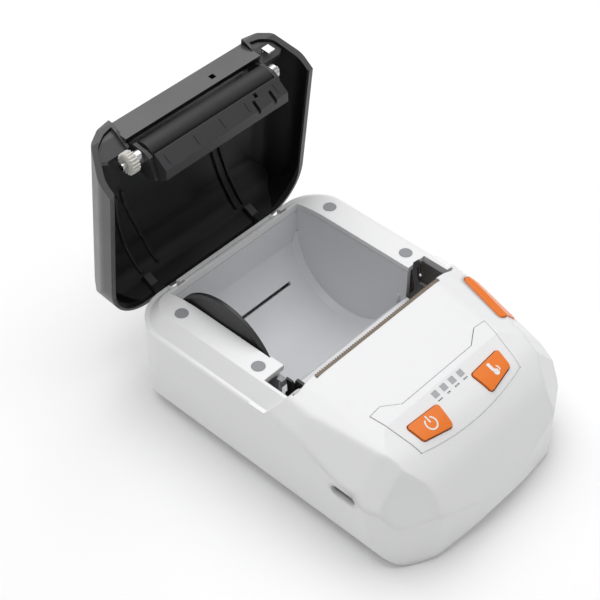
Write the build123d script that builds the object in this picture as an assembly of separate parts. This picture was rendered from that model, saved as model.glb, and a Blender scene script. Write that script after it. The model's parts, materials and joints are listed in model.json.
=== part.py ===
from build123d import *
import math
import os

# Portable receipt printer, lid open.  Millimetres, +Z up, +X to the right, the paper leaves towards -Y.
# The origin is the centre of the underside, on the surface that the printer stands on.

# Outer body
BODY_HALF = 45.0
BODY_REAR = 61.0
NOSE_FRONT = -62.0
REAR_CORNER = 15.0
UNDERSIDE = 0.15
LEDGE_Z = 37.2
DECK_Z = 42.0
HOOD_TOP = 46.45
CASE_WALL = 1.9
HOOD_SLOPE = 0.19
HOOD_EDGE_Y = -6.5
HOOD_REAR_LEAN = 0.74
SHOULDER_Z = 44.6
SHOULDER_STATIONS = ((-5.0, 0.36), (-38.0, 0.62), (-45.5, 1.7))
PLUG_R = 2.2

# Lid and its hinge
HINGE_Y = 58.1
HINGE_Z = 28.1
OPEN_ANGLE = 84.0
LID_RIM_Z = 38.2
LID_CORNER = 17.0
LID_WALL = 2.2
FRONT_WALL_Y = -6.9
FRONT_WALL_Z = 48.0
ARM_X = (22.5, 25.5)
HINGE_PIN_R = 0.9
KNUCKLE_R = 1.6

# Paper bin
BIN_HALF = 30.0
BIN_Y = 32.0
BIN_Z = 28.0
BIN_R = 24.0
BIN_REAR = 55.7
BIN_WALL = 1.5
BIN_SHELF_Z = 30.5
SHELF_FRONT = -4.2
SHELF_REAR = 4.4
BIN_REAR_TOP = 37.2
THROAT_HALF = 28.6
SLIT_ANGLE = 40.4
SLIT_WIDTH = 1.3
SENSOR_X = (-12.0, 17.0)

# Platen and its drive
PLATEN_Y = -2.8
PLATEN_Z = 43.0
ROLLER_R = 3.9
ROLLER_HALF = 26.6
SHAFT_R = 1.1
BUSH_R = 2.5
RUN_FIT = 0.05
GEAR_MODULE = 0.34
PLATEN_TEETH = 20
WHEEL_TEETH = 36
PINION_TEETH = 12
GEAR_X = -32.7
GEAR_WIDTH = 2.8
HEAD_GAP = 0.25

# Latch
LATCH_X = (30.1, 30.9)
LATCH_Y = 0.6
LATCH_Z = 27.0
LATCH_SHAFT_R = 1.25

# Controls
PANEL_SLOPE = 20.0
PANEL_CENTRE = (0.0, -40.5, 38.8)
PANEL_DEPTH = 1.2
BUTTON_GAP = 0.3
LED_X = (-6.0, -2.0, 2.0, 6.0)
RELEASE_GAP = 0.35


# ---------------------------------------------------------------- helpers
def face(points):
    """Flat face with straight sides."""
    return make_face(Polyline(*points, close=True))


def soft_face(points, radii):
    """Flat face whose corners are rounded, one radius for each point."""
    return make_face(FilletPolyline(*points, radius=radii, close=True))


def along_x(outline, x_low, x_high):
    """Extrude an outline drawn as (y, z) between two x stations."""
    return extrude(Plane.YZ.offset(x_low) * outline, amount=x_high - x_low)


def along_y(outline, y_low, y_high):
    """Extrude an outline drawn as (x, z) between two y stations."""
    return extrude(Plane.XZ.offset(-y_high) * outline, amount=y_high - y_low)


def along_z(outline, z_low, z_high, taper=0.0):
    """Extrude an outline drawn as (x, y) between two heights."""
    return extrude(Plane.XY.offset(z_low) * outline, amount=z_high - z_low, taper=taper)


def block(x_span, y_span, z_span):
    """Box between pairs of coordinates."""
    size = [high - low for low, high in (x_span, y_span, z_span)]
    centre = [(high + low) / 2 for low, high in (x_span, y_span, z_span)]
    return Pos(*centre) * Box(*size)


def rod_x(x_low, x_high, y, z, radius):
    """Round bar along X."""
    return along_x(Pos(y, z) * Circle(radius), x_low, x_high)


def both_sides(points):
    """Right half of an outline, top to bottom, closed by its mirror image."""
    return points + [(-x, second) for x, second in reversed(points)]


def swap_sides(shape):
    """Mirror image across the middle plane."""
    return mirror(shape, about=Plane.YZ)


def opened(shape):
    """Turn a lid piece from its closed place to the open rest pose."""
    return shape.rotate(Axis((0, HINGE_Y, HINGE_Z), (1, 0, 0)), -OPEN_ANGLE)


def save(name, *shapes):
    """Write one node; separate solids stay separate."""
    solids = [solid for shape in shapes for solid in shape.solids()]
    export_step(Compound(children=solids), f"parts/{name}.step")


def gear(teeth, x_low, x_high, y, z, bore, turn=0.0):
    """Spur gear along X with straight-flanked teeth; turn is the angle of the first tooth from +Y."""
    pitch = GEAR_MODULE * teeth / 2
    root, tip = pitch - 1.15 * GEAR_MODULE, pitch + 0.95 * GEAR_MODULE
    step = 2 * math.pi / teeth
    points = []
    for tooth in range(teeth):
        middle = math.radians(turn) + tooth * step
        for radius, offset in ((root, -0.34), (tip, -0.12), (tip, 0.12), (root, 0.34)):
            angle = middle + offset * step
            points.append((y + radius * math.cos(angle), z + radius * math.sin(angle)))
    return along_x(face(points), x_low, x_high) - rod_x(x_low - 1, x_high + 1, y, z, bore)


def coil(radius, wire, pitch, turns):
    """Helical spring wire about +Z, starting at the origin's plane."""
    path = Helix(pitch=pitch, height=pitch * turns, radius=radius)
    return sweep(Plane(path @ 0, z_dir=path % 0) * Circle(wire / 2), path=path)


# ---------------------------------------------------------------- body envelope
def plan_face(inset=0.0):
    """Body seen from above: straight sides, round rear corners and a facetted, bowed nose."""
    right = [(BODY_HALF, BODY_REAR), (BODY_HALF, -41.5), (40.2, -50.4), (28.0, -57.6)]
    points = right + [(0.0, NOSE_FRONT)] + [(-x, y) for x, y in reversed(right)]
    radii = [REAR_CORNER, 9.0, 9.0, 7.0, 60.0, 7.0, 9.0, 9.0, REAR_CORNER]
    whole = soft_face(points, radii)
    return offset(whole, amount=-inset) if inset else whole


def side_face(inset=0.0):
    """Body seen from the side, as (y, z): upright rear, round underside edges, nose curving down."""
    top, floor_z, rear_y, diagonal = 60.0, UNDERSIDE + inset, BODY_REAR - inset, 0.7 * inset
    upper = [(-24, 44.6), (-38, 39.7), (-44, 37.3), (-47.2, 35)]
    lower = [(-51, 31.4), (-54.6, 26.4), (-58.2, 19.4), (-60.6, 12.5)]
    nose = Spline(*upper, *lower, tangents=[(-1, -0.3), (-0.1, -1)])
    if inset:
        stations = [(nose @ (step / 8), nose % (step / 8)) for step in range(9)]
        drawn_in = [(point.X - inset * along.Y, point.Y + inset * along.X) for point, along in stations]
        nose = Spline(*drawn_in, tangents=[(-1, -0.3), (-0.1, -1)])
    chin = ThreePointArc(nose @ 1, (-59.2 + diagonal, 3.6 + diagonal), (-51.5, floor_z))
    floor = Line((-51.5, floor_z), (48, floor_z))
    heel = ThreePointArc((48, floor_z), (57.2 - diagonal, 3.96 + diagonal), (rear_y, 13.15))
    rest = Polyline((rear_y, 13.15), (rear_y, top), (-24, top), nose @ 0)
    return make_face(Curve() + [nose, chin, floor, heel, rest])


def lower_section(inset=0.0):
    """Cross-section of the tub below the ledge, as (x, z): sides lean in below mid height."""
    half = BODY_HALF - inset
    points = both_sides([(half, LEDGE_Z - inset), (half, 25.5), (half - 2.1, UNDERSIDE + inset)])
    return soft_face(points, [1.3, 30.0, 10.5 - inset, 10.5 - inset, 30.0, 1.3])


def hood_section(inset=0.0):
    """Cross-section of the hood at its rear edge, as (x, z): crowned top, two facets each side."""
    half, top = BODY_HALF - inset, HOOD_TOP - inset
    knee_point = (39.3 - 0.6 * inset, top - 2.8)
    points = both_sides([(half, -20), (half, 37.2), knee_point, (33.0, top - 0.9), (27.5, top)])
    side, knee = (5.0, 2.2) if inset else (6.0, 4.5)
    return soft_face(points, [0, side, knee, 5.0, 14.0, 14.0, 5.0, knee, side, 0])


def hood_prism(inset=0.0):
    """The hood's cross-section carried forward and down along the slope of its top."""
    start = 6.0
    rise = (start - HOOD_EDGE_Y) * HOOD_SLOPE
    profile = Plane.XZ.offset(-start) * (Pos(0, rise) * hood_section(inset))
    slope = Vector(0, -1, -HOOD_SLOPE).normalized()
    return extrude(profile, amount=80.0, dir=slope) & shoulder_prism(inset)


def shoulder_prism(inset=0.0):
    """Bevelled shoulders, which fall away towards the nose in steps, each steeper than the last."""
    start, knee, steepness = 6.0, 40.0, 1.145
    half, ridge = BODY_HALF + 3.0, knee - 14.0
    stepped, height = None, SHOULDER_Z - 1.52 * inset
    previous_y, previous_slope = SHOULDER_STATIONS[0][0], 0.0
    for station_y, slope in SHOULDER_STATIONS:
        height -= (previous_y - station_y) * previous_slope
        raised = height + (start - station_y) * slope
        outer = (half, raised - (half - knee) * steepness)
        inner = (ridge, raised + (knee - ridge) * steepness)
        profile = Plane.XZ.offset(-start) * face(both_sides([(half, -60.0), outer, inner]))
        prism = extrude(profile, amount=180.0, dir=Vector(0, -1, -slope).normalized())
        stepped = stepped & prism if stepped else prism
        previous_y, previous_slope = station_y, slope
    return stepped


def behind_hood(gap=0.0):
    """Everything behind the hood's leaning rear face and above the ledge."""
    top, foot = 60.0, LEDGE_Z
    lean_top = 45.3
    edge = HOOD_EDGE_Y + gap
    toe = edge + (lean_top - foot) * HOOD_REAR_LEAN
    outline = face([(edge, lean_top), (edge, top), (80, top), (80, foot), (toe, foot)])
    return along_x(outline, -60, 60)


def deck_block(inset=0.0):
    """Raised deck inside the lid's rim: leaning flanks, top rolling off towards the hinge."""
    base = plan_face(1.6 + inset) & Rectangle(100, 72, align=(Align.CENTER, Align.MIN)).moved(Pos(0, -10))
    taper_height = DECK_Z - LEDGE_Z
    flanks = along_z(base, LEDGE_Z, DECK_Z + 0.6, taper=42.0)
    top = DECK_Z - inset
    roll = ThreePointArc((42, top), (51, top - 0.8), (62, top - 4.0))
    rest = Polyline((62, top - 4.0), (62, 20), (-12, 20), (-12, top), (42, top))
    below = along_z(base, 25.0, LEDGE_Z - inset)
    flanks = flanks.moved(Pos(0, 0, -inset))
    return (flanks + below) & along_x(make_face(Curve() + [roll, rest]), -60, 60)


def body_envelope(inset=0.0):
    """Outer form of the case, or the same form drawn in by a wall thickness."""
    stock = along_z(plan_face(inset), 0, 60) & along_x(side_face(inset), -60, 60)
    beside_hood = block((-60, 60), (-80, HOOD_EDGE_Y), (0, 80)) - hood_prism(inset)
    tub = (stock & along_y(lower_section(inset), -70, 70)) - beside_hood
    above_tub = block((-60, 60), (-80, 60), (LEDGE_Z - 9.5, 80))
    hood = (stock & hood_prism(inset) & above_tub) - behind_hood(-inset)
    return tub + hood + deck_block(inset)


CASE_OUTER = body_envelope()
CASE_INNER = body_envelope(CASE_WALL)
PANEL_PLANE = Plane(
    origin=PANEL_CENTRE,
    x_dir=(1, 0, 0),
    z_dir=(0, -math.sin(math.radians(PANEL_SLOPE)), math.cos(math.radians(PANEL_SLOPE))),
)
RELEASE_NORMAL = Vector(0.8, 0, 0.6)
RELEASE_PLANE = Plane(origin=(41.6, -24.5, 40.6), x_dir=(0, 1, 0), z_dir=RELEASE_NORMAL)


def skin(outline_prism, proud, depth):
    """Slice of the case's surface inside a prism, from proud above it to depth below it."""
    up, down = PANEL_PLANE.z_dir * proud, PANEL_PLANE.z_dir * -depth
    return (outline_prism & CASE_OUTER.moved(Location(up))) - CASE_OUTER.moved(Location(down))


# ---------------------------------------------------------------- openings shared by pieces
def panel_outline(shrink=0.0):
    """Control panel seen from above."""
    rear = [(27.6, -27.7), (22.5, -27.3), (16.5, -31.1), (-16.5, -31.1), (-22.5, -27.3), (-27.6, -27.7)]
    front = (24.0, -45.4)
    line = Polyline(front, *rear, (-front[0], front[1]))
    lip = ThreePointArc((-front[0], front[1]), (0, -47.8), front)
    whole = make_face(Curve() + [line, lip])
    return offset(whole, amount=-shrink) if shrink else whole


def panel_prism(shrink=0.0):
    return along_z(panel_outline(shrink), 25, 60)


def button_prism(side, grow=0.0):
    """Four-sided key outline carried along the panel's normal; side is -1 left, +1 right."""
    lean = math.cos(math.radians(PANEL_SLOPE))
    corners = [(21.9, -37.2), (8.2, -37.9), (9.4, -45.6), (20.8, -43.4)]
    points = [(side * x, (y - PANEL_CENTRE[1]) / lean) for x, y in corners]
    outline = soft_face(points, [0.9, 0.9, 1.2, 1.2])
    outline = offset(outline, amount=grow) if grow else outline
    return PANEL_PLANE * extrude(Pos(0, 0, -6) * outline, amount=12)


def window_prisms():
    """The four small indicator windows."""
    return [block((x - 1.1, x + 1.1), (-36.5, -34.4), (30, 50)) for x in LED_X]


def release_prism(grow=0.0):
    """Slanted key outline on the right shoulder, carried along the direction it is pressed in."""
    points = [(12.9, 4.9), (-5.9, 5.3), (-4.9, -7.0), (13.1, -2.4)]
    outline = soft_face(points, [1.0, 1.4, 1.4, 1.0])
    outline = offset(outline, amount=grow) if grow else outline
    return RELEASE_PLANE * extrude(Pos(0, 0, -9) * outline, amount=18)


def usb_slot(grow=0.0, x_low=-50.0, x_high=-40.0):
    """Oval opening in the left side."""
    return along_x(Pos(-33.0, 25.6) * SlotOverall(9.4 + 2 * grow, 3.5 + 2 * grow), x_low, x_high)


def platen_sweep():
    """Space that the platen passes through as the lid closes."""
    reach = math.hypot(HINGE_Y - PLATEN_Y, PLATEN_Z - HINGE_Z) + ROLLER_R + 0.35
    ring = rod_x(-36.9, 36.9, HINGE_Y, HINGE_Z, reach)
    return ring & block((-37, 37), (-12, 0), (36, 60))


# ---------------------------------------------------------------- case
def screw_places():
    """Bottom cover screws."""
    return [(x, y) for x in (-27.0, 27.0) for y in (-42.5, 45.0)]


def housing():
    case = CASE_OUTER - CASE_INNER
    case -= block((-BIN_HALF, BIN_HALF), (HOOD_EDGE_Y, BIN_REAR), (20, 60))
    case += block((-31, -29.3), (5.7, 11.0), (DECK_Z - CASE_WALL, DECK_Z))
    for side in (-1, 1):
        case -= block(sorted((side * 29.9, side * 38.0)), (HOOD_EDGE_Y, 5.7), (32, 60))
        case -= block(sorted((side * 22.3, side * 25.7)), (56.3, 62), (24.5, 60))
        for low, high in ((20.9, 22.3), (25.7, 27.1)):
            case += block(sorted((side * low, side * high)), (56.5, 60.0), (25.4, 37.6))
        case -= rod_x(-27.2, 27.2, HINGE_Y, HINGE_Z, HINGE_PIN_R)
    case -= platen_sweep()
    case -= block((-29.1, 29.1), (-7.9, -6), (HOOD_TOP - 0.75, 60))
    case -= skin(panel_prism(), 1.0, PANEL_DEPTH + 0.05)
    case -= skin(panel_prism(2.4), 1.0, 8.0)
    case -= release_prism(RELEASE_GAP)
    case -= usb_slot()
    case -= button_prism(-1, BUTTON_GAP) + button_prism(1, BUTTON_GAP)
    for x, y in plug_places():
        case -= Pos(x, y, DECK_Z) * Cylinder(PLUG_R + RUN_FIT, 1.6)
    case -= Pos(0, 1, 1) * extrude(RectangleRounded(62, 94, 6), amount=3, both=True)
    for x, y in screw_places():
        side = math.copysign(1, x)
        case += block(sorted((x - side * 4, x + side * 6)), (y - 3.4, y + 3.4), (2.35, 4.2))
        case += block(sorted((side * 31.2, x + side * 6)), (y - 3.4, y + 3.4), (1.2, 4.2))
        case -= Pos(x, y, 3) * Cylinder(0.8, 6)
    return case


def bottom_cover():
    plate = Pos(0, 1, 0.05) * extrude(RectangleRounded(61.4, 93.4, 5.7), amount=2.1)
    for x, y in screw_places():
        plate -= Pos(x, y, 0) * (Cylinder(1.15, 8) + Cylinder(2.1, 2.4))
    for x, y in pad_places():
        plate -= Pos(x, y, 0) * Cylinder(4.1, 1.2)
    return plate


def pad_places():
    return [(x, y) for x in (-23.0, 23.0) for y in (-33.0, 35.0)]


def foot_pads():
    return [Pos(x, y, 0.3) * Cylinder(4.0, 0.6) for x, y in pad_places()]


def case_screws():
    head, shank = Pos(0, 0, 0.75) * Cylinder(1.9, 0.9), Pos(0, 0, 2.6) * Cylinder(0.8, 3.4)
    driver = Pos(0, 0, 0.5) * (Box(2.2, 0.5, 0.6) + Box(0.5, 2.2, 0.6))
    return [Pos(x, y, 0) * (head + shank - driver) for x, y in screw_places()]


def plug_places():
    return [(x, y) for x in (-35.0, 35.0) for y in (11.1, 44.9)]


def deck_plugs():
    """Flat round plugs flush in the deck."""
    plug = Cylinder(PLUG_R, 0.8)
    return [Pos(x, y, DECK_Z - 0.35) * plug for x, y in plug_places()]


def tear_bar():
    """Toothed strip along the hood's rear edge."""
    half, pitch = 29.0, 1.0
    tip, root, front = -6.4, -7.1, -7.85
    points = [(-half, front), (half, front), (half, root)]
    teeth = round(2 * half / pitch)
    for tooth in range(teeth):
        x = half - tooth * pitch
        points += [(x - 0.5 * pitch, tip), (x - pitch, root)]
    return along_z(face(points), HOOD_TOP - 0.7, HOOD_TOP - 0.15)


# ---------------------------------------------------------------- paper bin
def bin_profile(grow=0.0):
    """Bin seen from the side, as (y, z): round floor, upright rear, shelf towards the platen."""
    radius, rear = BIN_R + grow, BIN_REAR + grow
    tangent = BIN_Z - math.sqrt(radius**2 - (rear - BIN_Y) ** 2)
    lip_z, shelf, top = BIN_Z - 2.6, BIN_SHELF_Z - grow, 39.8 if grow else 60.0
    lip_y = BIN_Y - math.sqrt(radius**2 - (BIN_Z - lip_z) ** 2)
    floor = ThreePointArc((rear, tangent), (BIN_Y, BIN_Z - radius), (lip_y, lip_z))
    rim = [(BIN_REAR, top), (rear, BIN_REAR_TOP)] if grow else [(rear, top)]
    front = [(SHELF_REAR - 0.51 * grow, shelf), (SHELF_FRONT, shelf), (SHELF_FRONT, top)]
    rest = Polyline((lip_y, lip_z), *front, *rim, (rear, tangent))
    return make_face(Curve() + [floor, rest])


def slit(width, x_low, x_high, r_low, r_high):
    """Block through the bin's floor where the guide's foot runs."""
    middle = (r_low + r_high) / 2
    bar = Pos((x_low + x_high) / 2, middle, 0) * Box(x_high - x_low, r_high - r_low, width)
    return Pos(0, BIN_Y, BIN_Z) * (Rot(-SLIT_ANGLE, 0, 0) * bar)


def paper_bin():
    """Trough for the roll, with a narrower shelf in front that leads the paper up to the platen."""
    body = along_x(bin_profile(BIN_WALL), -BIN_HALF - BIN_WALL, BIN_HALF + BIN_WALL)
    rear_part = block((-40, 40), (5.9, 60), (0, 60))
    neck = block((-THROAT_HALF, THROAT_HALF), (-6.9, 12), (0, 60))
    body &= rear_part + neck
    room = along_x(bin_profile(), -BIN_HALF, BIN_HALF)
    bevel_start = 27.3
    ring = rod_x(bevel_start, BIN_HALF + 0.5, BIN_Y, BIN_Z, BIN_R + 0.5)
    cone = Solid.make_cone(BIN_R, BIN_R - 1.1, BIN_HALF - bevel_start + 0.01)
    cone = cone.moved(Location((bevel_start, BIN_Y, BIN_Z), (0, 90, 0)))
    body = (body - room) + ((ring - cone) & block((0, 40), (8.5, 55.6), (0, 28)) & body_room())
    body -= slit(SLIT_WIDTH, -29.6, 21.0, 20, 30)
    body -= block((-40, 40), (8.5, 60), (34, 60)) - deck_block(CASE_WALL + 0.05)
    body -= block((-40, 40), (5.9, 11.0), (DECK_Z - 12, 60)) & block((-40, -28.9), (0, 12), (38, 60))
    for side in (-1, 1):
        body -= block(sorted((side * 22.2, side * 25.8)), (56.3, 58), (24, 45))
        body -= block(sorted((side * 20.8, side * 27.2)), (56.4, 58), (25.2, 45))
    for x in SENSOR_X:
        body -= block((x - 2.1, x + 2.1), (-2.6, 0.9), (25, 35))
    return body


def body_room():
    return along_x(bin_profile(0.6), -BIN_HALF - 0.6, BIN_HALF + 0.6)


def paper_sensors():
    """Reflective sensors seated in the shelf under the paper."""
    return [block((x - 2.0, x + 2.0), (-2.5, 0.8), (28.9, 30.4)) for x in SENSOR_X]


def paper_guide():
    """Disc that is pushed along the bin to fit a narrower roll, with its foot and slider."""
    radius, left = 22.3, -29.3
    outline = [(left + 1.3, 0), (left + 1.3, radius), (left + 0.1, radius), (left - 0.1, radius - 0.7),
               (left + 0.25, radius - 2.2), (left - 0.25, radius - 9), (left - 0.35, 0)]
    disc = revolve(Plane.XY * face(outline), axis=Axis.X)
    disc = disc.moved(Location((0, BIN_Y, BIN_Z)))
    foot = slit(0.9, left, left + 3.2, radius - 2.0, BIN_R + BIN_WALL + 0.6)
    shoe = slit(5.0, left, left + 6.0, BIN_R + BIN_WALL + 0.3, BIN_R + BIN_WALL + 1.8)
    return disc + foot + shoe


# ---------------------------------------------------------------- control panel
def control_panel():
    plate = skin(panel_prism(0.2), 0.12, PANEL_DEPTH)
    for side in (-1, 1):
        plate -= button_prism(side, BUTTON_GAP)
    for window in window_prisms():
        plate -= window
    return plate


def led_windows():
    return [skin(window, 0.05, PANEL_DEPTH) for window in window_prisms()]


def panel_button(side):
    """Key with a post under it; the post stops just above its switch."""
    cap = skin(button_prism(side), 0.8, 1.9)
    post = PANEL_PLANE * (Pos(side * 15, -0.3, -2.1) * Cylinder(1.8, 1.5))
    return cap + post


def panel_board():
    lean = PANEL_PLANE * (Pos(0, 0.5, -8.3) * Box(46, 13, 1.2))
    return lean


def tact_switches():
    body = Pos(0, 0, -6.05) * Box(6, 6, 3.3) + Pos(0, 0, -4.0) * Cylinder(1.6, 0.9)
    return [PANEL_PLANE * (Pos(side * 15, -0.3, 0) * body) for side in (-1, 1)]


def led_chips():
    return [PANEL_PLANE * (Pos(x, 5.1, -7.35) * Box(1.6, 0.9, 0.7)) for x in LED_X]


def release_button():
    """Key on the right shoulder, with an arm inside that runs back to the right latch hook."""
    up, down = RELEASE_NORMAL * 0.4, RELEASE_NORMAL * -1.6
    cap = (release_prism() & CASE_OUTER.moved(Location(up))) - CASE_OUTER.moved(Location(down))
    stem = RELEASE_PLANE * (Pos(3.5, -1.0, -6.6) * Box(8, 3.4, 5.2))
    arm = block((35.2, 37.6), (-24, -2.2), (33.4, 36.4))
    wedge = along_z(face([(37.6, -4.4), (35.2, -4.4), (32.0, -2.6), (32.0, -1.7), (37.6, 0.0)]), 33.4, 36.4)
    return cap + stem + arm + wedge


# ---------------------------------------------------------------- platen drive, print head, latch
WHEEL_Y = PLATEN_Y - 4.2
WHEEL_Z = PLATEN_Z - math.sqrt((GEAR_MODULE * (PLATEN_TEETH + WHEEL_TEETH) / 2) ** 2 - 4.2**2)
PINION_Y = WHEEL_Y - 3.5
PINION_Z = WHEEL_Z - math.sqrt((GEAR_MODULE * (PINION_TEETH + WHEEL_TEETH) / 2) ** 2 - 3.5**2)


def direction(y_from, z_from, y_to, z_to):
    return math.degrees(math.atan2(z_to - z_from, y_to - y_from))


def gear_span():
    return GEAR_X - GEAR_WIDTH / 2, GEAR_X + GEAR_WIDTH / 2


def reduction_gear():
    """Large wheel: one tooth points at the platen's centre."""
    turn = direction(WHEEL_Y, WHEEL_Z, PLATEN_Y, PLATEN_Z)
    return gear(WHEEL_TEETH, *gear_span(), WHEEL_Y, WHEEL_Z, 1.0 + RUN_FIT, turn)


def motor_pinion():
    """Pinion: a gap faces the wheel wherever a wheel tooth points at it."""
    towards_wheel = direction(PINION_Y, PINION_Z, WHEEL_Y, WHEEL_Z)
    from_wheel = direction(WHEEL_Y, WHEEL_Z, PINION_Y, PINION_Z)
    wheel_turn = direction(WHEEL_Y, WHEEL_Z, PLATEN_Y, PLATEN_Z)
    wheel_step = 360.0 / WHEEL_TEETH
    phase = ((from_wheel - wheel_turn) / wheel_step) % 1.0
    turn = towards_wheel + (phase + 0.5) * 360.0 / PINION_TEETH
    return gear(PINION_TEETH, *gear_span(), PINION_Y, PINION_Z, 0.75, turn)


def motor_shaft():
    return rod_x(-36.2, -20.0, PINION_Y, PINION_Z, 0.75)


def stepper_motor():
    can = rod_x(-28.7, -15.0, PINION_Y, PINION_Z, 6.0)
    collar = rod_x(-29.8, -28.7, PINION_Y, PINION_Z, 1.9)
    return can + collar - rod_x(-30, -19.5, PINION_Y, PINION_Z, 0.75 + RUN_FIT)


def gear_axle():
    return rod_x(-36.0, -28.8, WHEEL_Y, WHEEL_Z, 1.0)


def head_frame():
    """Black frame: two side plates that seat the platen's bushes, joined by the spring wall."""
    outline = face([(-17, 21), (3.8, 21), (4.6, 31), (1.2, 36.5), (0.2, 39.6), (-5.9, 39.6), (-5.9, 43.6),
                    (-7.2, 43.4), (-17, 41.6)])
    plate = along_x(outline, THROAT_HALF + 0.2, THROAT_HALF + 1.3)
    plate -= rod_x(20, 40, PLATEN_Y, PLATEN_Z, BUSH_R + 0.12)
    plate -= rod_x(20, 40, LATCH_Y, LATCH_Z, LATCH_SHAFT_R + RUN_FIT)
    left = swap_sides(plate)
    left -= rod_x(-40, -20, PINION_Y, PINION_Z, 1.9)
    left -= rod_x(-40, -20, WHEEL_Y, WHEEL_Z, 1.0)
    wall = block((-THROAT_HALF - 0.2, THROAT_HALF + 0.2), (-15.3, -13.9), (34.8, 41.6))
    return plate + left + wall


def print_head():
    """Ceramic strip that the paper is pressed against."""
    face_y = PLATEN_Y - ROLLER_R - HEAD_GAP
    return block((-26.7, 26.7), (face_y - 1.0, face_y), (35.2, 43.3))


def heat_sink():
    face_y = PLATEN_Y - ROLLER_R - HEAD_GAP - 1.0
    plate = block((-26.7, 26.7), (face_y - 2.2, face_y), (34.9, 43.4))
    for side in (-1, 1):
        plate -= Pos(side * 12, face_y - 2.4, 39.5) * Rot(90, 0, 0) * Cylinder(2.6, 1.4)
    return plate


def head_springs():
    """Springs between the frame's wall and the heat sink."""
    spring = coil(1.9, 0.45, 0.62, 6)
    start = PLATEN_Y - ROLLER_R - HEAD_GAP - 3.0
    return [Pos(side * 12, start, 39.5) * (Rot(90, 0, 0) * spring) for side in (-1, 1)]


def head_cable():
    """Flat ribbon from the head down to the main board."""
    route = Polyline((-7.45, 35.1), (-7.45, 33.0), (-12.5, 30.0), (-17.2, 26.4), (-21.0, 24.1), (-25.0, 24.1))
    return along_x(trace(route, line_width=0.3), -6, 14)


def latch_shaft():
    return rod_x(-32.2, 32.2, LATCH_Y, LATCH_Z, LATCH_SHAFT_R)


def latch_hook(side):
    """Hook beside the frame's plate, standing just behind the bush's path; the left one is a short stub."""
    foot = [(-1.4, 27), (-0.4, 36)]
    beak = [(1.9, 41.2), (2.2, 44.4), (1.4, 45.4), (1.5, 47.0), (2.5, 47.4), (4.0, 45.4), (4.0, 41)]
    stub = [(0.9, 39.0), (3.5, 39.0)]
    outline = face(foot + (beak if side > 0 else stub) + [(2.9, 36), (2.6, 27)])
    arm = along_x(outline, *LATCH_X) + rod_x(*LATCH_X, LATCH_Y, LATCH_Z, 2.5)
    arm -= rod_x(20, 40, LATCH_Y, LATCH_Z, LATCH_SHAFT_R)
    return arm if side > 0 else swap_sides(arm)


def latch_spring():
    """Torsion spring coiled round the latch shaft."""
    wire, turns = 0.5, 6
    spring = coil(1.75, wire, 0.62, turns)
    return Pos(6, LATCH_Y, LATCH_Z) * (Rot(0, 90, 0) * spring)


# ---------------------------------------------------------------- electronics
def main_board():
    board = block((-41.0, 36.0), (-50.0, -19.0), (22.2, 23.8)) & along_z(plan_face(3.5), 20, 26)
    return board - block((34, 40), (-30, -19), (20, 30))


def board_chips():
    places = [(-8, -38, 9, 9, 1.2), (9, -40, 6, 5, 1.1), (-24, -28, 7, 5, 1.6), (24, -24, 8, 6, 2.4)]
    return [block((x, x + a), (y, y + b), (23.8, 23.8 + h)) for x, y, a, b, h in places]


def radio_module():
    board = block((18, 31), (-44, -35), (23.8, 24.6))
    can = block((19, 28), (-43, -36), (24.6, 26.4))
    return board + can


def usb_socket():
    """Metal shell whose mouth lines up with the slot in the side."""
    shell = along_x(Pos(-33.0, 25.6) * SlotOverall(9.0, 3.3), -42.0, -35.0)
    mouth = along_x(Pos(-33.0, 25.6) * SlotOverall(8.3, 2.6), -43.0, -36.0)
    tongue = block((-41.4, -36.0), (-36.2, -29.8), (25.3, 25.9))
    return shell - mouth + tongue


def battery_pack():
    pack = block((-25, 25), (-40, 4), (4.7, 17.2))
    return fillet(pack.edges().filter_by(Axis.X), 4.0)


# ---------------------------------------------------------------- lid, drawn closed and turned open
def lid_plan(inset=0.0):
    half, rear, front = BODY_HALF - inset, BODY_REAR - inset, -14.0
    points = [(half, front), (half, rear), (-half, rear), (-half, front)]
    return soft_face(points, [0, LID_CORNER - inset, LID_CORNER - inset, 0])


def lid_section(inset=0.0):
    """Lid's cross-section, as (x, z)."""
    half = BODY_HALF - inset
    right = [(half, 20), (half, 43.5 - 0.4 * inset), (39.7 - 0.6 * inset, 52.6 - 0.8 * inset),
             (34.5 - 0.3 * inset, 55.4 - inset), (24, 57.2 - inset)]
    return soft_face(both_sides(right), [0, 7.0, 4.0, 4.0, 30.0, 30.0, 4.0, 4.0, 7.0, 0])


def lid_profile(inset=0.0):
    """Lid seen from the side, as (y, z): leaning front edge, round rear."""
    top = 57.2 - inset
    points = [(-40, 10), (-40, top - 1.0), (0, top - 0.9), (28, top), (47, top - 2.0), (58.2 - inset, 47.4),
              (61 - inset, 38), (61 - inset, 10)]
    return soft_face(points, [0, 0, 120.0, 60.0, 9.0, 9.0, 3.0, 0])


def lid_front(y_shift=0.0):
    """Everything in front of the lid's leaning front edge."""
    foot, knee, tip = (1.2, LID_RIM_Z), (-7.6, 52.0), (-8.8, 55.0)
    points = [(-60, 20), (6.0, 20), (6.0, LID_RIM_Z - 7), foot, knee, tip, (-8.8, 70), (-60, 70)]
    return along_x(face([(y + y_shift, z) for y, z in points]), -60, 60)


def lid_block(inset=0.0):
    stock = along_z(lid_plan(inset), LID_RIM_Z, 70)
    return stock & along_y(lid_section(inset), -80, 80) & along_x(lid_profile(inset), -60, 60)


def ear_web(side):
    """Recessed panel that closes the corner between the lid's side wall and its front wall."""
    slab = lid_front(2.9) - lid_front(1.3)
    corners = [(28.9, 47.2), (28.9, 60), (44.4, 60), (44.4, 50.0), (37.5, 47.2)]
    corner = face([(side * x, z) for x, z in corners])
    return slab & along_y(corner, -9, 8) & lid_block(0.6)


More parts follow.
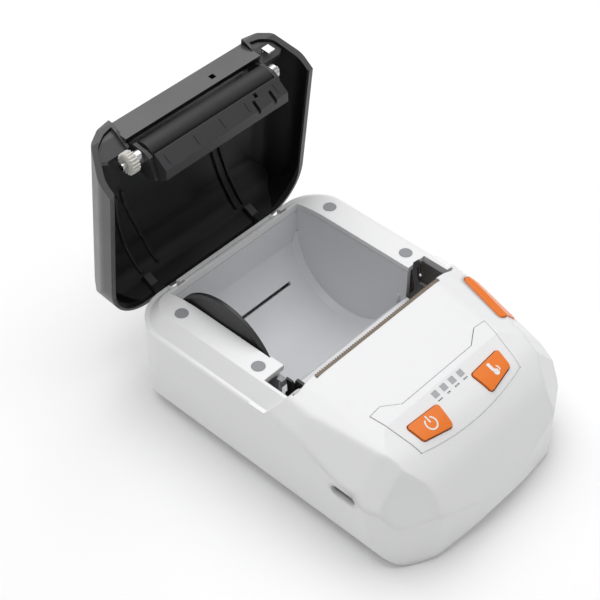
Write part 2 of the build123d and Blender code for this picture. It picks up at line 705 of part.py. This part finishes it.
def lid_shell():
    """Hollow lid: two ears in front, and between them a front wall set back behind the platen."""
    inner = lid_block(LID_WALL).moved(Pos(0, 0, -0.01))
    inner += along_z(lid_plan(LID_WALL), LID_RIM_Z - 1, LID_RIM_Z)
    shell = lid_block() - inner - lid_front() - deck_block(-0.4)
    for side in (-1, 1):
        shell += ear_web(side)
        cheek = block(sorted((side * 28.9, side * 30.1)), (-9, -2.0), (46.8, 60)) & lid_block(0.3)
        shell += cheek - lid_front()
    shell -= block((-28.9, 28.9), (-12, FRONT_WALL_Y), (40, 70))
    wall = block((-29.5, 29.5), (FRONT_WALL_Y, FRONT_WALL_Y + 1.8), (FRONT_WALL_Z, 60)) & lid_block(0.3)
    shell += wall
    return shell - block((9.6, 11.6), (-12, 0), (50.2, 52.0))


def platen_frame():
    """Tie bar with an end plate at each side that carries the platen's bushes."""
    bar = block((-28.5, 28.5), (-4.9, -1.0), (50.5, 53.3))
    front_edge = [(-4.9, 53.3), (-4.9, 47.4), (-5.6, 46.0), (-5.6, 41.0), (-4.6, 38.6)]
    outline = face(front_edge + [(2.6, 35.6), (4.4, 39.5), (1.8, 47), (-1.0, 53.3)])
    plate = along_x(outline, 27.0, 28.5) - rod_x(20, 40, PLATEN_Y, PLATEN_Z, 2.0)
    return bar + plate + swap_sides(plate)


def paper_beam():
    """Bar behind the platen that turns the paper, with ribs and two notches."""
    front, low, rear = (-5.9, 38.2), (-2.6, 32.9), (0.9, 32.4)
    beam = along_x(face([front, low, rear, (3.2, 35.0), (2.4, 38.2)]), -26.9, 26.9)
    lean = direction(*low, *front)
    middle = ((front[0] + low[0]) / 2, (front[1] + low[1]) / 2)
    for x in (-24.0, -11.4, -0.2, 10.8, 23.9):
        rib = Pos(x, middle[0], middle[1]) * (Rot(lean - 90, 0, 0) * Box(0.5, 0.5, 3.6))
        beam += rib
    for x in (13.9, 21.2):
        beam -= block((x - 0.6, x + 0.6), (-8, -1.2), (30, 36.0))
    beam -= block((15.2, 16.6), (-8, -3.4), (36.2, 37.6))
    beam -= block((-26, 26), (-2.2, 1.2), (36.8, 39))
    return beam - beam_prism()


def beam_prism():
    """Small white reflector set in the beam between its notches."""
    return along_x(face([(-5.0, 36.9), (-3.9, 35.1), (-3.0, 36.9)]), 16.9, 18.6)


def platen_bushes():
    bush = rod_x(27.0, 31.0, PLATEN_Y, PLATEN_Z, 2.0) + rod_x(28.6, 31.0, PLATEN_Y, PLATEN_Z, BUSH_R)
    bush -= rod_x(20, 40, PLATEN_Y, PLATEN_Z, SHAFT_R + RUN_FIT)
    return [bush, swap_sides(bush)]


def platen_shaft():
    return rod_x(-36.0, 32.4, PLATEN_Y, PLATEN_Z, SHAFT_R)


def platen_roller():
    return rod_x(-ROLLER_HALF, ROLLER_HALF, PLATEN_Y, PLATEN_Z, ROLLER_R) - platen_shaft()


def platen_gear():
    """Small gear: a gap faces the wheel's tooth when the lid is closed."""
    turn = direction(PLATEN_Y, PLATEN_Z, WHEEL_Y, WHEEL_Z) + 180.0 / PLATEN_TEETH
    low, high = gear_span()
    hub = rod_x(low, high + 0.1, PLATEN_Y, PLATEN_Z, 2.2) - rod_x(-40, -30, PLATEN_Y, PLATEN_Z, SHAFT_R)
    return gear(PLATEN_TEETH, low, high, PLATEN_Y, PLATEN_Z, SHAFT_R, turn) + hub


def ear_plate():
    """Bright steel tab at the right ear."""
    return block((32.2, 35.4), (-7.0, -6.4), (47.0, 50.3)) + block((32.2, 35.4), (-6.4, -5.2), (49.7, 50.3))


def hinge_arms():
    """Arms from the lid's rear wall down to the hinge pins."""
    front_edge = [(56.6, 28.1), (56.5, 40.2), (55.0, 44.2), (56.5, 45.0)]
    outline = face(front_edge + [(58.3, 41.0), (58.5, 38.6), (58.4, 28.1)])
    arm = along_x(outline, *ARM_X) + rod_x(*ARM_X, HINGE_Y, HINGE_Z, KNUCKLE_R)
    arm -= rod_x(20, 30, HINGE_Y, HINGE_Z, HINGE_PIN_R + RUN_FIT)
    arm &= lid_block(LID_WALL) + block((-50, 50), (50, 62), (20, LID_RIM_Z))
    return [arm, swap_sides(arm)]


def hinge_pins():
    pin = rod_x(20.9, 27.1, HINGE_Y, HINGE_Z, HINGE_PIN_R)
    return [pin, swap_sides(pin)]


# ---------------------------------------------------------------- write the nodes
os.makedirs("parts", exist_ok=True)

BASE = {
    "housing": [housing()],
    "bottom_cover": [bottom_cover()],
    "foot_pads": foot_pads(),
    "case_screws": case_screws(),
    "deck_plugs": deck_plugs(),
    "tear_bar": [tear_bar()],
    "paper_bin": [paper_bin()],
    "paper_sensors": paper_sensors(),
    "paper_guide": [paper_guide()],
    "control_panel": [control_panel()],
    "led_windows": led_windows(),
    "power_button": [panel_button(-1)],
    "feed_button": [panel_button(1)],
    "panel_board": [panel_board()],
    "tact_switches": tact_switches(),
    "led_chips": led_chips(),
    "release_button": [release_button()],
    "reduction_gear": [reduction_gear()],
    "motor_pinion": [motor_pinion()],
    "motor_shaft": [motor_shaft()],
    "stepper_motor": [stepper_motor()],
    "gear_axle": [gear_axle()],
    "head_frame": [head_frame()],
    "print_head": [print_head()],
    "heat_sink": [heat_sink()],
    "head_springs": head_springs(),
    "head_cable": [head_cable()],
    "latch_shaft": [latch_shaft()],
    "latch_hook_left": [latch_hook(-1)],
    "latch_hook_right": [latch_hook(1)],
    "latch_spring": [latch_spring()],
    "main_board": [main_board()],
    "board_chips": board_chips(),
    "radio_module": [radio_module()],
    "usb_socket": [usb_socket()],
    "battery_pack": [battery_pack()],
    "hinge_pins": hinge_pins(),
}
LID = {
    "lid_shell": [lid_shell()],
    "platen_frame": [platen_frame()],
    "paper_beam": [paper_beam()],
    "beam_prism": [beam_prism()],
    "platen_bushes": platen_bushes(),
    "platen_shaft": [platen_shaft()],
    "platen_roller": [platen_roller()],
    "platen_gear": [platen_gear()],
    "ear_plate": [ear_plate()],
    "hinge_arms": hinge_arms(),
}

for name, shapes in BASE.items():
    save(name, *shapes)
for name, shapes in LID.items():
    save(name, *[opened(shape) for shape in shapes])
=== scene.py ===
import json
import math

import bmesh
import bpy
from mathutils import Matrix, Vector
from mathutils.bvhtree import BVHTree


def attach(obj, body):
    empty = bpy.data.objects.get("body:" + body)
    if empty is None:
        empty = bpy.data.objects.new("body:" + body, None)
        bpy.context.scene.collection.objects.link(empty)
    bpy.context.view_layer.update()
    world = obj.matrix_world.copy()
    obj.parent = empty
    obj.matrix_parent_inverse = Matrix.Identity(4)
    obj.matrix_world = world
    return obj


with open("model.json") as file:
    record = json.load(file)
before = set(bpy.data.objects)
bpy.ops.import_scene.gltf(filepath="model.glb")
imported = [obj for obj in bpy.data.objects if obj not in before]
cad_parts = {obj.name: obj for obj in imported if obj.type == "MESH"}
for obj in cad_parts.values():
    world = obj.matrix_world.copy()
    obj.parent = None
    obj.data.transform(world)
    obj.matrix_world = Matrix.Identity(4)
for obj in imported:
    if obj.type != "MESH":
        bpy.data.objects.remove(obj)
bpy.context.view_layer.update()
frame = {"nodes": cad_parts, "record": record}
NODES = frame["nodes"]
MM = 0.001

# The lid's details are given with the lid closed; OPENING turns them to the open rest pose.
HINGE = Vector((0.0, 58.1, 28.1)) * MM
OPEN_ANGLE = math.radians(-84.0)
OPENING = Matrix.Translation(HINGE) @ Matrix.Rotation(OPEN_ANGLE, 4, "X") @ Matrix.Translation(-HINGE)

LID_MIDDLE = Vector((0.0, 26.0, 34.0)) * MM
ORANGE, ORANGE_WORN = (0.86, 0.20, 0.018), (0.92, 0.30, 0.06)
# The first colour here is painted shade for the lid's shaded inner faces, not a second plastic.
LID_INSIDE_SHADE, LEVER_BLACK = (0.006, 0.006, 0.0065), (0.018, 0.018, 0.019)
LEVER_START = -0.0108
INSIDE_SPECULAR = 0.25


# ------------------------------------------------------------------ materials
class Shader:
    """Small helper that builds one Principled material node by node."""

    def __init__(self, name):
        self.material = bpy.data.materials.new(name)
        self.material.use_nodes = True
        self.tree = self.material.node_tree
        self.shader = self.tree.nodes["Principled BSDF"]
        self.place = self.add("ShaderNodeTexCoord").outputs["Object"]

    def add(self, kind, **values):
        node = self.tree.nodes.new(kind)
        for key, value in values.items():
            setattr(node, key, value)
        return node

    def link(self, output, target):
        self.tree.links.new(output, target)
        return target

    def noise(self, scale, detail=3.0, roughness=0.5, place=None):
        node = self.add("ShaderNodeTexNoise")
        node.inputs["Scale"].default_value = scale
        node.inputs["Detail"].default_value = detail
        node.inputs["Roughness"].default_value = roughness
        self.link(place or self.place, node.inputs["Vector"])
        return node.outputs["Fac"]

    def stretched(self, factors):
        node = self.add("ShaderNodeMapping")
        node.inputs["Scale"].default_value = factors
        self.link(self.place, node.inputs["Vector"])
        return node.outputs["Vector"]

    def remap(self, value, low, high, to_low, to_high):
        node = self.add("ShaderNodeMapRange")
        sockets = ("From Min", "From Max", "To Min", "To Max")
        for key, number in zip(sockets, (low, high, to_low, to_high)):
            node.inputs[key].default_value = number
        self.link(value, node.inputs["Value"])
        return node.outputs["Result"]

    def mix(self, factor, first, second):
        node = self.add("ShaderNodeMix", data_type="RGBA")
        for target, value in zip((node.inputs["A"], node.inputs["B"]), (first, second)):
            if isinstance(value, (tuple, list)):
                target.default_value = (*value, 1.0)
            else:
                self.link(value, target)
        self.link(factor, node.inputs["Factor"])
        return node.outputs["Result"]

    def maths(self, operation, first, second):
        node = self.add("ShaderNodeMath", operation=operation)
        for target, value in zip(node.inputs, (first, second)):
            if isinstance(value, (int, float)):
                target.default_value = value
            else:
                self.link(value, target)
        return node.outputs["Value"]

    def edges(self, radius):
        """Mask that is 1 near sharp edges, from a rounded normal against the true one."""
        bevel = self.add("ShaderNodeBevel", samples=6)
        if isinstance(radius, float):
            bevel.inputs["Radius"].default_value = radius
        else:
            self.link(radius(self), bevel.inputs["Radius"])
        true = self.add("ShaderNodeNewGeometry").outputs["Normal"]
        dot = self.add("ShaderNodeVectorMath", operation="DOT_PRODUCT")
        self.link(bevel.outputs["Normal"], dot.inputs[0])
        self.link(true, dot.inputs[1])
        return self.remap(dot.outputs["Value"], 0.98, 0.80, 0.0, 1.0), bevel.outputs["Normal"]

    def bump(self, height, strength, distance, normal=None):
        node = self.add("ShaderNodeBump")
        node.inputs["Strength"].default_value = strength
        node.inputs["Distance"].default_value = distance
        self.link(height, node.inputs["Height"])
        if normal:
            self.link(normal, node.inputs["Normal"])
        return node.outputs["Normal"]


def finish_of(name, colour, rough, grain=6000.0, depth=0.00002, strength=0.25, tint=0.04, wear=0.25,
              edge=0.00025, metal=0.0, brushed=None, coat=0.0, subsurface=0.0, worn=None, spec=0.5,
              tone=None):
    """One moulded, rubber or metal finish: broad colour drift, fine grain in relief, rubbed edges.

    edge is the rounding radius in metres, or a function that gives it from the place.
    tone, if given, repaints the colour by place.
    """
    s = Shader(name)
    dark = tuple(max(c * (1 - tint), 0.0) for c in colour)
    light = tuple(min(c * (1 + tint), 1.0) for c in colour)
    broad = s.remap(s.noise(28.0, 4.0, 0.55), 0.3, 0.7, 0.0, 1.0)
    speck = s.remap(s.noise(1900.0, 2.0, 0.6), 0.35, 0.65, 0.0, 1.0)
    drift = s.maths("ADD", s.maths("MULTIPLY", broad, 0.7), s.maths("MULTIPLY", speck, 0.3))
    base = s.mix(drift, dark, light)
    edge_mask, soft_normal = s.edges(edge)
    rubbed = s.maths("MULTIPLY", edge_mask, s.remap(s.noise(320.0, 4.0, 0.6), 0.35, 0.62, 0.15, wear))
    worn = worn or tuple(min(c * 1.25 + 0.03, 1.0) for c in colour)
    painted = s.mix(rubbed, base, worn)
    if tone:
        painted = tone(s, painted)
    s.link(painted, s.shader.inputs["Base Color"])
    vector = s.stretched(brushed) if brushed else None
    fine = s.noise(grain, 2.0, 0.5, vector)
    smudge = s.remap(s.noise(60.0, 5.0, 0.6), 0.3, 0.75, -0.05, 0.06)
    grainy = s.maths("MULTIPLY", s.maths("SUBTRACT", fine, 0.5), 0.10)
    roughness = s.maths("ADD", s.maths("ADD", smudge, rough), grainy)
    s.link(s.maths("SUBTRACT", roughness, s.maths("MULTIPLY", rubbed, 0.10)), s.shader.inputs["Roughness"])
    s.link(s.bump(fine, strength, depth, soft_normal), s.shader.inputs["Normal"])
    s.shader.inputs["Metallic"].default_value = metal
    s.shader.inputs["Coat Weight"].default_value = coat
    s.shader.inputs["Coat Roughness"].default_value = 0.25
    # Where the lid's inside gets painted shade, its specular is lowered too.
    if tone is painted_shade_inside:
        specular = s.remap(hollow_shade_mask(s), 0.0, 1.0, spec, INSIDE_SPECULAR)
        s.link(specular, s.shader.inputs["Specular IOR Level"])
    else:
        s.shader.inputs["Specular IOR Level"].default_value = spec
    if subsurface:
        s.shader.inputs["Subsurface Weight"].default_value = subsurface
        s.shader.inputs["Subsurface Radius"].default_value = (0.0022, 0.0017, 0.0013)
        s.shader.inputs["Subsurface Scale"].default_value = 1.0
    return s.material


def hollow_shade_mask(s):
    """Mask for the painted shade inside the lid: 1 on lid surfaces that face the lid's hollow, 0 on its
    outside and rim.
    """
    towards = s.add("ShaderNodeVectorMath", operation="SUBTRACT")
    towards.inputs[0].default_value = OPENING @ LID_MIDDLE
    s.link(s.place, towards.inputs[1])
    unit = s.add("ShaderNodeVectorMath", operation="NORMALIZE")
    s.link(towards.outputs["Vector"], unit.inputs[0])
    facing = s.add("ShaderNodeVectorMath", operation="DOT_PRODUCT")
    s.link(unit.outputs["Vector"], facing.inputs[0])
    s.link(s.add("ShaderNodeTexCoord").outputs["Normal"], facing.inputs[1])
    return s.remap(facing.outputs["Value"], 0.14, 0.26, 0.0, 1.0)


def painted_shade_inside(s, colour):
    """Painted shade: deep black on the lid's inner faces, which lie in the shade of its hollow; greyer satin
    outside.
    """
    return s.mix(hollow_shade_mask(s), colour, LID_INSIDE_SHADE)


def black_at_rear(s, colour):
    """The key's lever, which runs back inside the case, is black like the latch parts."""
    parts = s.add("ShaderNodeSeparateXYZ")
    s.link(s.place, parts.inputs[0])
    lever = s.remap(parts.outputs["Y"], LEVER_START, LEVER_START + 0.0002, 0.0, 1.0)
    return s.mix(lever, colour, LEVER_BLACK)


PLAIN_RADIUS, SOFT_RADIUS = 0.00035, 0.0032


def shoulder_radius(s):
    """Large on the nose and shoulders, where the moulding is soft, and small everywhere else."""
    parts = s.add("ShaderNodeSeparateXYZ")
    s.link(s.place, parts.inputs[0])
    x, y, z = parts.outputs
    forward = s.remap(y, -0.034, -0.046, 0.0, 1.0)
    outward = s.remap(s.maths("ABSOLUTE", x, 0.0), 0.0295, 0.036, 0.0, 1.0)
    low = s.remap(z, 0.0335, 0.0315, 0.0, 1.0)
    behind = s.remap(y, 0.012, 0.0, 0.0, 1.0)
    soft = s.maths("MAXIMUM", s.maths("MULTIPLY", forward, low), s.maths("MULTIPLY", outward, behind))
    soft = s.maths("MULTIPLY", soft, s.remap(y, -0.008, -0.012, 0.0, 1.0))
    return s.maths("ADD", s.maths("MULTIPLY", soft, SOFT_RADIUS), PLAIN_RADIUS)


MATERIALS = {
    "white_case": finish_of("white_case", (0.83, 0.832, 0.836), 0.34, grain=5200, depth=0.000012, tint=0.012,
                            wear=0.2, subsurface=0.08, worn=(0.86, 0.86, 0.86), edge=shoulder_radius),
    # bin_grey is painted shade: the bin is the same white plastic as the case, made darker here for the shade
    # inside it.
    "bin_grey": finish_of("bin_grey", (0.76, 0.765, 0.785), 0.42, grain=4200, depth=0.00002, tint=0.02),
    # lid_black gets painted shade inside the lid's hollow through its tone.
    "lid_black": finish_of("lid_black", (0.046, 0.046, 0.048), 0.38, grain=3000, depth=0.00004, strength=0.35,
                           tint=0.12, worn=(0.08, 0.08, 0.083), spec=0.8, tone=painted_shade_inside),
    "inner_black": finish_of("inner_black", (0.024, 0.024, 0.026), 0.42, grain=3500, depth=0.00003, tint=0.15,
                             worn=(0.08, 0.08, 0.082)),
    "orange_key": finish_of("orange_key", ORANGE, 0.32, grain=4500, depth=0.000012, tint=0.03,
                            worn=ORANGE_WORN),
    "grey_trim": finish_of("grey_trim", (0.27, 0.275, 0.29), 0.45, grain=4000, tint=0.05),
    "roller_rubber": finish_of("roller_rubber", (0.026, 0.026, 0.027), 0.55, grain=5200, depth=0.00004,
                               strength=0.5, tint=0.12, spec=0.35, brushed=(0.25, 1.0, 1.0)),
    "foot_rubber": finish_of("foot_rubber", (0.02, 0.02, 0.02), 0.75, grain=3000, depth=0.00005,
                             strength=0.5, tint=0.1),
    "nylon_white": finish_of("nylon_white", (0.70, 0.69, 0.65), 0.38, grain=3000, tint=0.03, subsurface=0.2),
    "steel": finish_of("steel", (0.55, 0.55, 0.56), 0.24, grain=900, depth=0.00001, metal=1.0,
                       brushed=(0.08, 6.0, 6.0), tint=0.06, worn=(0.75, 0.75, 0.76)),
    "blade_steel": finish_of("blade_steel", (0.17, 0.135, 0.10), 0.40, grain=1200, depth=0.00001, metal=0.6,
                             brushed=(0.1, 5.0, 5.0), tint=0.10, worn=(0.42, 0.36, 0.29)),
    "aluminium": finish_of("aluminium", (0.62, 0.63, 0.64), 0.32, grain=1000, depth=0.00001, metal=1.0,
                           brushed=(0.1, 5.0, 5.0), tint=0.05),
    "head_ceramic": finish_of("head_ceramic", (0.07, 0.08, 0.075), 0.2, grain=2000, tint=0.08, coat=0.4),
    "board_green": finish_of("board_green", (0.01, 0.10, 0.045), 0.35, grain=2500, tint=0.12),
    "chip_black": finish_of("chip_black", (0.012, 0.012, 0.013), 0.5, grain=4000, tint=0.1),
    "led_lens": finish_of("led_lens", (0.42, 0.43, 0.45), 0.22, grain=2500, tint=0.04, coat=0.3),
    "cell_blue": finish_of("cell_blue", (0.02, 0.04, 0.13), 0.3, grain=1500, tint=0.08, coat=0.3),
    "ribbon": finish_of("ribbon", (0.60, 0.33, 0.06), 0.3, grain=1500, tint=0.08),
    "spring_steel": finish_of("spring_steel", (0.6, 0.6, 0.61), 0.2, grain=1500, metal=1.0, tint=0.05),
    "reflector_white": finish_of("reflector_white", (0.82, 0.82, 0.80), 0.3, grain=2500, tint=0.02),
}
SLOT_OF = {row["node"]: row["material_slot"] for row in frame["record"]["subparts"]}
for name, node in NODES.items():
    node.data.materials.clear()
    node.data.materials.append(MATERIALS[SLOT_OF[name]])
NODES["release_button"].data.materials.clear()
NODES["release_button"].data.materials.append(
    finish_of("release_key", ORANGE, 0.32, grain=4500, depth=0.000012, tint=0.03, worn=ORANGE_WORN,
              tone=black_at_rear))
MATERIALS["print_white"] = finish_of("print_white", (0.86, 0.86, 0.84), 0.5, grain=7000, tint=0.02, wear=0.1)
MATERIALS["print_grey"] = finish_of("print_grey", (0.16, 0.16, 0.17), 0.55, grain=7000, tint=0.08, wear=0.1)


# ------------------------------------------------------------------ detail pieces
def surface_of(*names):
    """Ray-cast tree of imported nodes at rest, in metres."""
    corners, faces = [], []
    for name in names:
        node, start = NODES[name], len(corners)
        corners += [node.matrix_world @ vertex.co for vertex in node.data.vertices]
        faces += [[start + index for index in face.vertices] for face in node.data.polygons]
    return BVHTree.FromPolygons(corners, faces)


def piece(name, corners, faces, material, body, bevel=0.0):
    """Mesh object that rides on a body; corners are in metres at rest."""
    mesh = bpy.data.meshes.new(name)
    mesh.from_pydata([tuple(corner) for corner in corners], [], faces)
    work = bmesh.new()
    work.from_mesh(mesh)
    bmesh.ops.recalc_face_normals(work, faces=work.faces)
    work.to_mesh(mesh)
    work.free()
    mesh.materials.append(MATERIALS[material])
    made = bpy.data.objects.new(name, mesh)
    bpy.context.scene.collection.objects.link(made)
    if bevel:
        rounding = made.modifiers.new("rounding", "BEVEL")
        rounding.width, rounding.segments, rounding.limit_method = bevel * MM, 2, "ANGLE"
    for polygon in mesh.polygons:
        polygon.use_smooth = True
    mesh.set_sharp_from_angle(angle=math.radians(35))
    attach(made, body)
    return made


def dense(path, step):
    """Points along a polyline at a regular spacing, both ends kept."""
    points = []
    for start, end in zip(path, path[1:]):
        count = max(1, round((end - start).length / step))
        points += [start.lerp(end, index / count) for index in range(count)]
    return points + [path[-1]]


def ribbon(path, width, cast, raised, buried):
    """Closed bar that follows a surface: cast turns a guide point into (surface point, outward normal)."""
    corners, faces = [], []
    for index, point in enumerate(path):
        before, after = path[max(index - 1, 0)], path[min(index + 1, len(path) - 1)]
        spot, normal = cast(point)
        across = (after - before).cross(normal).normalized() * (width / 2)
        for side, height in ((-1, raised), (1, raised), (1, -buried), (-1, -buried)):
            corners.append(spot + across * side + normal * height)
    for index in range(len(path) - 1):
        first = index * 4
        for turn in range(4):
            following = (turn + 1) % 4
            faces.append([first + turn, first + following, first + 4 + following, first + 4 + turn])
    last = len(corners) - 4
    faces += [[3, 2, 1, 0], [last, last + 1, last + 2, last + 3]]
    return corners, faces


def joined(parts):
    """Merge (corners, faces) lists into one."""
    corners, faces = [], []
    for more_corners, more_faces in parts:
        start = len(corners)
        corners += more_corners
        faces += [[start + index for index in face] for face in more_faces]
    return corners, faces


def from_above(tree):
    """Cast straight down; used for printing on keys and panel."""
    def cast(point):
        spot, normal, _, _ = tree.ray_cast(Vector((point.x, point.y, 0.2)), Vector((0, 0, -1)))
        return spot, normal if normal.z > 0 else -normal
    return cast


def flat(points):
    return [Vector((x, y, 0.0)) * MM for x, y in points]


def arc(centre, radius, start, end, steps=28):
    angles = [math.radians(start + (end - start) * index / steps) for index in range(steps + 1)]
    return [(centre[0] + radius * math.cos(angle), centre[1] + radius * math.sin(angle)) for angle in angles]


PRINT_RAISED, PRINT_BURIED = 0.03 * MM, 0.06 * MM


def printed(name, tree, strokes, material, body):
    """Printing made of strokes; each stroke is (points in mm, width in mm)."""
    cast = from_above(tree)
    bars = [ribbon(dense(flat(points), 0.3 * MM), width * MM, cast, PRINT_RAISED, PRINT_BURIED)
            for points, width in strokes]
    return piece(name, *joined(bars), material, body)


def about(centre, *offsets):
    """Points in mm, given as offsets from a centre."""
    return [(centre[0] + x, centre[1] + y) for x, y in offsets]


POWER_AT, FEED_AT = (-14.8, -41.2), (15.3, -41.2)
SYMBOL_LINE = 0.55
printed("power_symbol", surface_of("power_button"), [
    (arc(POWER_AT, 1.95, 122, 418), SYMBOL_LINE),
    (about(POWER_AT, (0, 0.2), (0, 2.7)), SYMBOL_LINE),
], "print_white", "power_button")
FEED_DROP, FEED_HOOK = about(FEED_AT, (0.2, -1.2), (0.9, -0.6))
printed("feed_symbol", surface_of("feed_button"), [
    (about(FEED_AT, (-0.3, 2.4), (-0.3, 0.2), (0, -0.8)), 1.2),
    (arc(FEED_DROP, 0.5, 0, 359), 1.1),
    (arc(FEED_HOOK, 1.0, -50, 60, 12), 0.5),
], "print_white", "feed_button")

# A few short strokes under each indicator window.
LED_X = (-6.0, -2.0, 2.0, 6.0)
LED_MARKS = ((0.55, 0.45, 0.5), (0.35, 0.7), (0.6, 0.3, 0.6), (0.5, 0.55, 0.35))
MARK_Y, MARK_HEIGHT, MARK_SPACE = -37.5, 0.5, 0.22
marks = []
for centre_x, lengths in zip(LED_X, LED_MARKS):
    x = centre_x - (sum(lengths) + MARK_SPACE * (len(lengths) - 1)) / 2
    for length in lengths:
        marks.append(([(x, MARK_Y), (x + length, MARK_Y)], MARK_HEIGHT))
        x += length + MARK_SPACE
printed("indicator_marks", surface_of("control_panel"), marks, "print_grey", "base")


RIDGE_PROBE, RIDGE_SLOPE = 0.45 * MM, math.radians(21)
RIDGE_WIDTH, RIDGE_RAISED, RIDGE_BURIED = 0.75 * MM, 0.05 * MM, 0.5 * MM
RIDGE_CENTRE, RIDGE_RADIUS, RIDGE_HALF_ANGLE = (0.0, 73.4), 121.1, 11.3


def level_with_front(tree):
    """Cast down just in front of the guide point, and carry the height back up the slope."""
    def cast(point):
        spot, normal = from_above(tree)(Vector((point.x, point.y - RIDGE_PROBE, 0.0)))
        return Vector((point.x, point.y, spot.z + RIDGE_PROBE * math.tan(RIDGE_SLOPE))), normal
    return cast


front_lip = flat(arc(RIDGE_CENTRE, RIDGE_RADIUS, 270 - RIDGE_HALF_ANGLE, 270 + RIDGE_HALF_ANGLE, 60))
ridge_cast = level_with_front(surface_of("housing"))
ridge = ribbon(front_lip, RIDGE_WIDTH, ridge_cast, RIDGE_RAISED, RIDGE_BURIED)
piece("panel_front_ridge", *ridge, "white_case", "base", bevel=0.04)


LID_PROBE, LID_PROBE_SIDEWAYS = Vector((0.0, 30.0, 40.0)) * MM, 0.8


def within_lid(tree):
    """Cast from the lid's hollow outwards, through a guide point given at rest."""
    def cast(point):
        start = OPENING @ LID_PROBE
        start.x = point.x * LID_PROBE_SIDEWAYS
        spot, normal, _, _ = tree.ray_cast(start, (point - start).normalized())
        return spot, normal if normal.dot(start - spot) > 0 else -normal
    return cast


lid_tree = surface_of("lid_shell")
LID_RIBS = (
    ((13.0, 22.0, 55.0), (20.0, 49.0, 54.0), (20.5, 56.0, 46.0)),
    ((16.4, 22.0, 55.0), (23.4, 49.0, 54.0), (23.9, 56.0, 46.0)),
    ((-26.0, 22.0, 55.0), (-18.5, 49.0, 54.0), (-16.5, 56.0, 46.0)),
    ((-29.5, 22.0, 55.0), (-26.0, 49.0, 54.0), (-24.0, 56.0, 46.0)),
)
RIB_WIDTH, RIB_RAISED, RIB_BURIED = 0.9 * MM, 0.9 * MM, 0.3 * MM
ribs = []
for rib in LID_RIBS:
    guide = [OPENING @ (Vector(point) * MM) for point in rib]
    ribs.append(ribbon(dense(guide, 1.0 * MM), RIB_WIDTH, within_lid(lid_tree), RIB_RAISED, RIB_BURIED))
piece("lid_ribs", *joined(ribs), "lid_black", "lid", bevel=0.2)


def plate_piece(name, outline, x_low, x_high, material, body, bevel):
    """Plate of (y, z) outline in mm between two x stations."""
    count = len(outline)
    corners = [Vector((x, y, z)) * MM for x in (x_low, x_high) for y, z in outline]
    faces = [list(range(count)), list(range(2 * count - 1, count - 1, -1))]
    for index in range(count):
        following = (index + 1) % count
        faces.append([index, following, count + following, count + index])
    return piece(name, corners, faces, material, body, bevel)


HOOK_SIDE = 30.92
CLIP = [
    (1.7, 41.6), (2.0, 45.6), (3.2, 46.3), (3.7, 45.4),
    (3.3, 45.0), (2.9, 45.3), (2.6, 44.9), (2.3, 41.5),
]
SIDE_CLIP = [(2.0, 38.2), (2.0, 40.9), (4.2, 40.9), (4.2, 40.3), (2.6, 40.3), (2.6, 38.2)]
plate_piece("latch_clip", CLIP, HOOK_SIDE, 31.7, "spring_steel", "latch", 0.1)
rivet = arc((2.4, 39.0), 0.85, 0, 345, 23)
plate_piece("latch_rivet", rivet, HOOK_SIDE, 32.6, "steel", "latch", 0.2)
plate_piece("gear_side_clip", SIDE_CLIP, -34.2, -32.0, "grey_trim", "base", 0.12)


# ------------------------------------------------------------------ floor, light and camera
def area_light(name, place, target, size, power, colour=(1, 1, 1)):
    data = bpy.data.lights.new(name, "AREA")
    data.shape, data.size, data.size_y = "RECTANGLE", size[0], size[1]
    data.energy, data.color = power, colour
    light = bpy.data.objects.new(name, data)
    bpy.context.scene.collection.objects.link(light)
    light.location = place
    light.rotation_euler = (Vector(target) - Vector(place)).to_track_quat("-Z", "Y").to_euler()
    return light


floor_mesh = bpy.data.meshes.new("floor")
reach = 3
square = [(-reach, -reach, 0), (reach, -reach, 0), (reach, reach, 0), (-reach, reach, 0)]
floor_mesh.from_pydata(square, [], [(0, 1, 2, 3)])
floor = bpy.data.objects.new("floor", floor_mesh)
bpy.context.scene.collection.objects.link(floor)
floor_shader = Shader("floor")
floor_shader.shader.inputs["Base Color"].default_value = (0.96, 0.96, 0.96, 1)
floor_shader.shader.inputs["Roughness"].default_value = 0.8
floor_mesh.materials.append(floor_shader.material)

world = bpy.data.worlds.new("studio")
bpy.context.scene.world = world
world.use_nodes = True
world.node_tree.nodes["Background"].inputs["Color"].default_value = (1, 1, 1, 1)
world.node_tree.nodes["Background"].inputs["Strength"].default_value = 0.40

TARGET = Vector((-0.00505, 0.02149, 0.042))
area_light("overhead", (0.10, 0.24, 0.95), TARGET, (1.2, 1.2), 9.4)
area_light("nose_side", (0.55, -0.65, 0.45), TARGET, (0.5, 0.5), 0.35)

AZIMUTH, ELEVATION, DISTANCE = math.radians(-47.067), math.radians(44.485), 0.51004
SENSOR_WIDTH, LENS = 36.0, 95.6
camera_data = bpy.data.cameras.new("camera")
camera_data.sensor_width = SENSOR_WIDTH
camera_data.lens = LENS
camera_data.clip_start, camera_data.clip_end = 0.01, 10.0
camera = bpy.data.objects.new("camera", camera_data)
bpy.context.scene.collection.objects.link(camera)
back = Vector((
    math.sin(AZIMUTH) * math.cos(ELEVATION),
    -math.cos(AZIMUTH) * math.cos(ELEVATION),
    math.sin(ELEVATION),
))
camera.location = TARGET + back * DISTANCE
camera.rotation_euler = (-back).to_track_quat("-Z", "Y").to_euler()
bpy.context.scene.camera = camera
bpy.context.scene.view_settings.view_transform = "Standard"
